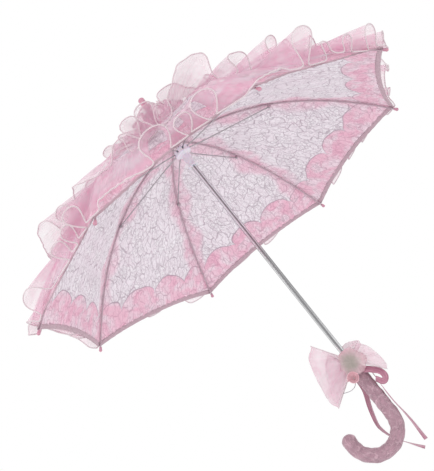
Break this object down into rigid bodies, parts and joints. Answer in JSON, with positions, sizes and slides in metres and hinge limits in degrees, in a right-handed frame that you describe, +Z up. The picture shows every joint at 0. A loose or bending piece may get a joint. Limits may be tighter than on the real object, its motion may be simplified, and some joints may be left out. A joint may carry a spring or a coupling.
{
  "type": "lace parasol",
  "caption": "Open ruffled lace parasol with a sliding runner, hinged ribs and stretchers, a bow and a covered crook handle.",
  "frame": {"origin": "on the shaft's axis at the middle of the straight grip", "axes": "+Z up the shaft to the ferrule, -X the way the crook opens, -Y the bow's front"},
  "size_m": [0.6356, 0.6356, 0.6912],
  "materials": {
    "chrome": "polished",
    "wire": "bright drawn wire",
    "rib_steel": "grey-mauve enamel",
    "white_plastic": "translucent moulded",
    "pink_plastic": "glossy moulded",
    "lace": "floral net lace",
    "organza": "sheer gathered organza",
    "satin": "satin ribbon",
    "handle_lace": "lace sleeve over foam",
    "handle_core": "moulded core"
  },
  "bodies": {
    "frame": {"shaft_tube": "chrome", "top_notch": "white_plastic", "notch_wire": "wire", "crown_cap": "organza", "crown_ruffle": "organza", "ferrule": "pink_plastic", "handle_core": "handle_core", "handle_sleeve": "handle_lace", "handle_end_cap": "handle_lace", "handle_collar": "pink_plastic", "bow_knot": "organza", "bow_loop_left": "organza", "bow_loop_right": "organza", "ribbon_loop": "satin", "ribbon_tail_left": "satin", "ribbon_tail_right": "satin"},
    "runner": {"runner": "white_plastic", "runner_wire": "wire"},
    "top_catch": {"top_catch": "wire"},
    "bottom_catch": {"bottom_catch": "wire"},
    "rib_1": {"rib_1": "rib_steel", "rib_bead_1": "pink_plastic"},
    "stretcher_1": {"stretcher_1": "wire"},
    "gore_1_left": {"gore_1_left": "lace"},
    "gore_1_right": {"gore_1_right": "lace"},
    "rib_2": {"rib_2": "rib_steel", "rib_bead_2": "pink_plastic"},
    "stretcher_2": {"stretcher_2": "wire"},
    "gore_2_left": {"gore_2_left": "lace"},
    "gore_2_right": {"gore_2_right": "lace"},
    "rib_3": {"rib_3": "rib_steel", "rib_bead_3": "pink_plastic"},
    "stretcher_3": {"stretcher_3": "wire"},
    "gore_3_left": {"gore_3_left": "lace"},
    "gore_3_right": {"gore_3_right": "lace"},
    "rib_4": {"rib_4": "rib_steel", "rib_bead_4": "pink_plastic"},
    "stretcher_4": {"stretcher_4": "wire"},
    "gore_4_left": {"gore_4_left": "lace"},
    "gore_4_right": {"gore_4_right": "lace"},
    "rib_5": {"rib_5": "rib_steel", "rib_bead_5": "pink_plastic"},
    "stretcher_5": {"stretcher_5": "wire"},
    "gore_5_left": {"gore_5_left": "lace"},
    "gore_5_right": {"gore_5_right": "lace"},
    "rib_6": {"rib_6": "rib_steel", "rib_bead_6": "pink_plastic"},
    "stretcher_6": {"stretcher_6": "wire"},
    "gore_6_left": {"gore_6_left": "lace"},
    "gore_6_right": {"gore_6_right": "lace"},
    "rib_7": {"rib_7": "rib_steel", "rib_bead_7": "pink_plastic"},
    "stretcher_7": {"stretcher_7": "wire"},
    "gore_7_left": {"gore_7_left": "lace"},
    "gore_7_right": {"gore_7_right": "lace"},
    "rib_8": {"rib_8": "rib_steel", "rib_bead_8": "pink_plastic"},
    "stretcher_8": {"stretcher_8": "wire"},
    "gore_8_left": {"gore_8_left": "lace"},
    "gore_8_right": {"gore_8_right": "lace"}
  },
  "joints": [
    {"name": "runner_slide", "type": "slide", "parent": "frame", "child": "runner", "axis": [0, 0, -1], "range_m": [0, 0.28262]},
    {"name": "top_catch_press", "type": "slide", "parent": "frame", "child": "top_catch", "axis": [0, -1, 0], "range_m": [0, 0.0022], "stiffness_N_per_m": 600, "springref_m": -0.001},
    {"name": "bottom_catch_press", "type": "slide", "parent": "frame", "child": "bottom_catch", "axis": [0, -1, 0], "range_m": [0, 0.0022], "stiffness_N_per_m": 600, "springref_m": -0.001},
    {"name": "rib_1_hinge", "type": "hinge", "parent": "frame", "child": "rib_1", "pos_m": [0.00924, 0.00383, 0.478], "axis": [-0.3827, 0.9239, 0], "range_deg": [0, 62.5]},
    {"name": "stretcher_1_hinge", "type": "hinge", "parent": "runner", "child": "stretcher_1", "pos_m": [0.00924, 0.00383, 0.457], "axis": [0.3827, -0.9239, 0], "range_deg": [0, 76.33]},
    {"name": "gore_1_left_fold", "type": "hinge", "parent": "rib_1", "child": "gore_1_left", "pos_m": [0.14075, 0.05217, 0.43762], "axis": [0.833, 0.2715, -0.4821], "range_deg": [0, 56.44], "deforming": ["gore_1_left"]},
    {"name": "gore_1_right_fold", "type": "hinge", "parent": "rib_1", "child": "gore_1_right", "pos_m": [0.13642, 0.06263, 0.43762], "axis": [-0.781, -0.397, 0.4821], "range_deg": [0, 56.44], "deforming": ["gore_1_right"]},
    {"name": "rib_2_hinge", "type": "hinge", "parent": "frame", "child": "rib_2", "pos_m": [0.00383, 0.00924, 0.478], "axis": [-0.9239, 0.3827, 0], "range_deg": [0, 62.5]},
    {"name": "stretcher_2_hinge", "type": "hinge", "parent": "runner", "child": "stretcher_2", "pos_m": [0.00383, 0.00924, 0.457], "axis": [0.9239, -0.3827, 0], "range_deg": [0, 76.33]},
    {"name": "gore_2_left_fold", "type": "hinge", "parent": "rib_2", "child": "gore_2_left", "pos_m": [0.06263, 0.13642, 0.43762], "axis": [0.397, 0.781, -0.4821], "range_deg": [0, 56.44], "deforming": ["gore_2_left"]},
    {"name": "gore_2_right_fold", "type": "hinge", "parent": "rib_2", "child": "gore_2_right", "pos_m": [0.05217, 0.14075, 0.43762], "axis": [-0.2715, -0.833, 0.4821], "range_deg": [0, 56.44], "deforming": ["gore_2_right"]},
    {"name": "rib_3_hinge", "type": "hinge", "parent": "frame", "child": "rib_3", "pos_m": [-0.00383, 0.00924, 0.478], "axis": [-0.9239, -0.3827, 0], "range_deg": [0, 62.5]},
    {"name": "stretcher_3_hinge", "type": "hinge", "parent": "runner", "child": "stretcher_3", "pos_m": [-0.00383, 0.00924, 0.457], "axis": [0.9239, 0.3827, 0], "range_deg": [0, 76.33]},
    {"name": "gore_3_left_fold", "type": "hinge", "parent": "rib_3", "child": "gore_3_left", "pos_m": [-0.05217, 0.14075, 0.43762], "axis": [-0.2715, 0.833, -0.4821], "range_deg": [0, 56.44], "deforming": ["gore_3_left"]},
    {"name": "gore_3_right_fold", "type": "hinge", "parent": "rib_3", "child": "gore_3_right", "pos_m": [-0.06263, 0.13642, 0.43762], "axis": [0.397, -0.781, 0.4821], "range_deg": [0, 56.44], "deforming": ["gore_3_right"]},
    {"name": "rib_4_hinge", "type": "hinge", "parent": "frame", "child": "rib_4", "pos_m": [-0.00924, 0.00383, 0.478], "axis": [-0.3827, -0.9239, 0], "range_deg": [0, 62.5]},
    {"name": "stretcher_4_hinge", "type": "hinge", "parent": "runner", "child": "stretcher_4", "pos_m": [-0.00924, 0.00383, 0.457], "axis": [0.3827, 0.9239, 0], "range_deg": [0, 76.33]},
    {"name": "gore_4_left_fold", "type": "hinge", "parent": "rib_4", "child": "gore_4_left", "pos_m": [-0.13642, 0.06263, 0.43762], "axis": [-0.781, 0.397, -0.4821], "range_deg": [0, 56.44], "deforming": ["gore_4_left"]},
    {"name": "gore_4_right_fold", "type": "hinge", "parent": "rib_4", "child": "gore_4_right", "pos_m": [-0.14075, 0.05217, 0.43762], "axis": [0.833, -0.2715, 0.4821], "range_deg": [0, 56.44], "deforming": ["gore_4_right"]},
    {"name": "rib_5_hinge", "type": "hinge", "parent": "frame", "child": "rib_5", "pos_m": [-0.00924, -0.00383, 0.478], "axis": [0.3827, -0.9239, 0], "range_deg": [0, 62.5]},
    {"name": "stretcher_5_hinge", "type": "hinge", "parent": "runner", "child": "stretcher_5", "pos_m": [-0.00924, -0.00383, 0.457], "axis": [-0.3827, 0.9239, 0], "range_deg": [0, 76.33]},
    {"name": "gore_5_left_fold", "type": "hinge", "parent": "rib_5", "child": "gore_5_left", "pos_m": [-0.14075, -0.05217, 0.43762], "axis": [-0.833, -0.2715, -0.4821], "range_deg": [0, 56.44], "deforming": ["gore_5_left"]},
    {"name": "gore_5_right_fold", "type": "hinge", "parent": "rib_5", "child": "gore_5_right", "pos_m": [-0.13642, -0.06263, 0.43762], "axis": [0.781, 0.397, 0.4821], "range_deg": [0, 56.44], "deforming": ["gore_5_right"]},
    {"name": "rib_6_hinge", "type": "hinge", "parent": "frame", "child": "rib_6", "pos_m": [-0.00383, -0.00924, 0.478], "axis": [0.9239, -0.3827, 0], "range_deg": [0, 62.5]},
    {"name": "stretcher_6_hinge", "type": "hinge", "parent": "runner", "child": "stretcher_6", "pos_m": [-0.00383, -0.00924, 0.457], "axis": [-0.9239, 0.3827, 0], "range_deg": [0, 76.33]},
    {"name": "gore_6_left_fold", "type": "hinge", "parent": "rib_6", "child": "gore_6_left", "pos_m": [-0.06263, -0.13642, 0.43762], "axis": [-0.397, -0.781, -0.4821], "range_deg": [0, 56.44], "deforming": ["gore_6_left"]},
    {"name": "gore_6_right_fold", "type": "hinge", "parent": "rib_6", "child": "gore_6_right", "pos_m": [-0.05217, -0.14075, 0.43762], "axis": [0.2715, 0.833, 0.4821], "range_deg": [0, 56.44], "deforming": ["gore_6_right"]},
    {"name": "rib_7_hinge", "type": "hinge", "parent": "frame", "child": "rib_7", "pos_m": [0.00383, -0.00924, 0.478], "axis": [0.9239, 0.3827, 0], "range_deg": [0, 62.5]},
    {"name": "stretcher_7_hinge", "type": "hinge", "parent": "runner", "child": "stretcher_7", "pos_m": [0.00383, -0.00924, 0.457], "axis": [-0.9239, -0.3827, 0], "range_deg": [0, 76.33]},
    {"name": "gore_7_left_fold", "type": "hinge", "parent": "rib_7", "child": "gore_7_left", "pos_m": [0.05217, -0.14075, 0.43762], "axis": [0.2715, -0.833, -0.4821], "range_deg": [0, 56.44], "deforming": ["gore_7_left"]},
    {"name": "gore_7_right_fold", "type": "hinge", "parent": "rib_7", "child": "gore_7_right", "pos_m": [0.06263, -0.13642, 0.43762], "axis": [-0.397, 0.781, 0.4821], "range_deg": [0, 56.44], "deforming": ["gore_7_right"]},
    {"name": "rib_8_hinge", "type": "hinge", "parent": "frame", "child": "rib_8", "pos_m": [0.00924, -0.00383, 0.478], "axis": [0.3827, 0.9239, 0], "range_deg": [0, 62.5]},
    {"name": "stretcher_8_hinge", "type": "hinge", "parent": "runner", "child": "stretcher_8", "pos_m": [0.00924, -0.00383, 0.457], "axis": [-0.3827, -0.9239, 0], "range_deg": [0, 76.33]},
    {"name": "gore_8_left_fold", "type": "hinge", "parent": "rib_8", "child": "gore_8_left", "pos_m": [0.13642, -0.06263, 0.43762], "axis": [0.781, -0.397, -0.4821], "range_deg": [0, 56.44], "deforming": ["gore_8_left"]},
    {"name": "gore_8_right_fold", "type": "hinge", "parent": "rib_8", "child": "gore_8_right", "pos_m": [0.14075, -0.05217, 0.43762], "axis": [-0.833, 0.2715, 0.4821], "range_deg": [0, 56.44], "deforming": ["gore_8_right"]}
  ],
  "couplings": [
    {"joint": "rib_1_hinge", "follows": "runner_slide", "rad_per_m": 3.8597},
    {"joint": "stretcher_1_hinge", "follows": "runner_slide", "rad_per_m": 4.7138},
    {"joint": "gore_1_left_fold", "follows": "runner_slide", "rad_per_m": 3.4854},
    {"joint": "gore_1_right_fold", "follows": "runner_slide", "rad_per_m": 3.4854},
    {"joint": "rib_2_hinge", "follows": "runner_slide", "rad_per_m": 3.8597},
    {"joint": "stretcher_2_hinge", "follows": "runner_slide", "rad_per_m": 4.7138},
    {"joint": "gore_2_left_fold", "follows": "runner_slide", "rad_per_m": 3.4854},
    {"joint": "gore_2_right_fold", "follows": "runner_slide", "rad_per_m": 3.4854},
    {"joint": "rib_3_hinge", "follows": "runner_slide", "rad_per_m": 3.8597},
    {"joint": "stretcher_3_hinge", "follows": "runner_slide", "rad_per_m": 4.7138},
    {"joint": "gore_3_left_fold", "follows": "runner_slide", "rad_per_m": 3.4854},
    {"joint": "gore_3_right_fold", "follows": "runner_slide", "rad_per_m": 3.4854},
    {"joint": "rib_4_hinge", "follows": "runner_slide", "rad_per_m": 3.8597},
    {"joint": "stretcher_4_hinge", "follows": "runner_slide", "rad_per_m": 4.7138},
    {"joint": "gore_4_left_fold", "follows": "runner_slide", "rad_per_m": 3.4854},
    {"joint": "gore_4_right_fold", "follows": "runner_slide", "rad_per_m": 3.4854},
    {"joint": "rib_5_hinge", "follows": "runner_slide", "rad_per_m": 3.8597},
    {"joint": "stretcher_5_hinge", "follows": "runner_slide", "rad_per_m": 4.7138},
    {"joint": "gore_5_left_fold", "follows": "runner_slide", "rad_per_m": 3.4854},
    {"joint": "gore_5_right_fold", "follows": "runner_slide", "rad_per_m": 3.4854},
    {"joint": "rib_6_hinge", "follows": "runner_slide", "rad_per_m": 3.8597},
    {"joint": "stretcher_6_hinge", "follows": "runner_slide", "rad_per_m": 4.7138},
    {"joint": "gore_6_left_fold", "follows": "runner_slide", "rad_per_m": 3.4854},
    {"joint": "gore_6_right_fold", "follows": "runner_slide", "rad_per_m": 3.4854},
    {"joint": "rib_7_hinge", "follows": "runner_slide", "rad_per_m": 3.8597},
    {"joint": "stretcher_7_hinge", "follows": "runner_slide", "rad_per_m": 4.7138},
    {"joint": "gore_7_left_fold", "follows": "runner_slide", "rad_per_m": 3.4854},
    {"joint": "gore_7_right_fold", "follows": "runner_slide", "rad_per_m": 3.4854},
    {"joint": "rib_8_hinge", "follows": "runner_slide", "rad_per_m": 3.8597},
    {"joint": "stretcher_8_hinge", "follows": "runner_slide", "rad_per_m": 4.7138},
    {"joint": "gore_8_left_fold", "follows": "runner_slide", "rad_per_m": 3.4854},
    {"joint": "gore_8_right_fold", "follows": "runner_slide", "rad_per_m": 3.4854}
  ]
}
